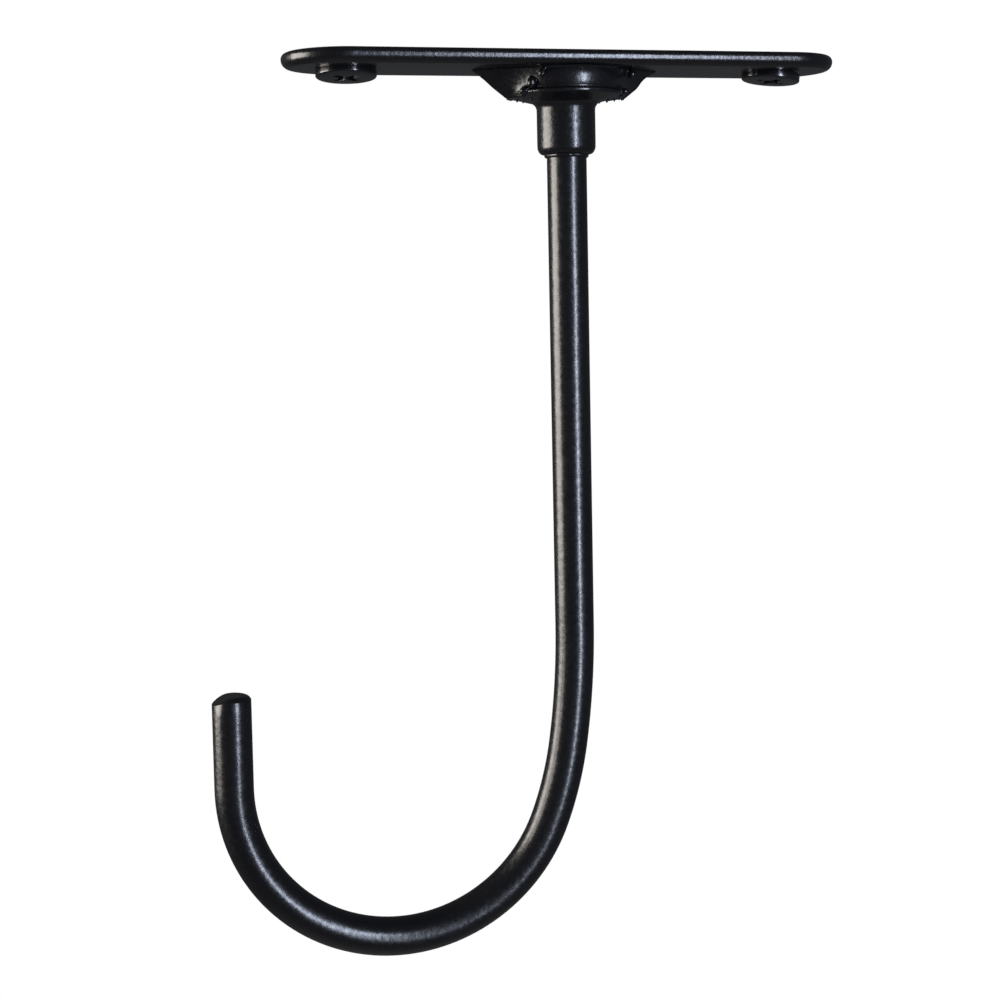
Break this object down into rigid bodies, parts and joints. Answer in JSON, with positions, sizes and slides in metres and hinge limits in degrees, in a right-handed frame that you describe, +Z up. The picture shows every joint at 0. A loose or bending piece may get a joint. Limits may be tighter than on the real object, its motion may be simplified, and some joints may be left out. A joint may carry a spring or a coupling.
{
  "type": "swivel ceiling hook",
  "caption": "Black J-shaped rod hook that turns in a cup under an obround ceiling plate, with pan-head screws and a sleeve-like neck.",
  "frame": {"origin": "centre of the plate's ceiling face, on the axis the rod turns about", "axes": "+Z up into the ceiling, X along the plate, the rod's tip towards -X"},
  "size_m": [0.0994, 0.018, 0.1588],
  "materials": {
    "painted_bracket": "satin black powder coat",
    "painted_rod": "satin black powder coat, fine grain",
    "black_screw": "glossy black oxide",
    "bright_washer": "plain steel"
  },
  "bodies": {
    "bracket": {"mounting_plate": "painted_bracket", "swivel_cup": "painted_bracket", "gusset_left": "painted_bracket", "gusset_right": "painted_bracket", "thrust_washer": "bright_washer", "screw_left": "black_screw", "screw_right": "black_screw"},
    "hook": {"hook_rod": "painted_rod"}
  },
  "joints": [
    {"name": "hook_swivel", "type": "hinge", "parent": "bracket", "child": "hook", "pos_m": [0, 0, -0.0118], "axis": [0, 0, 1], "continuous": true}
  ]
}
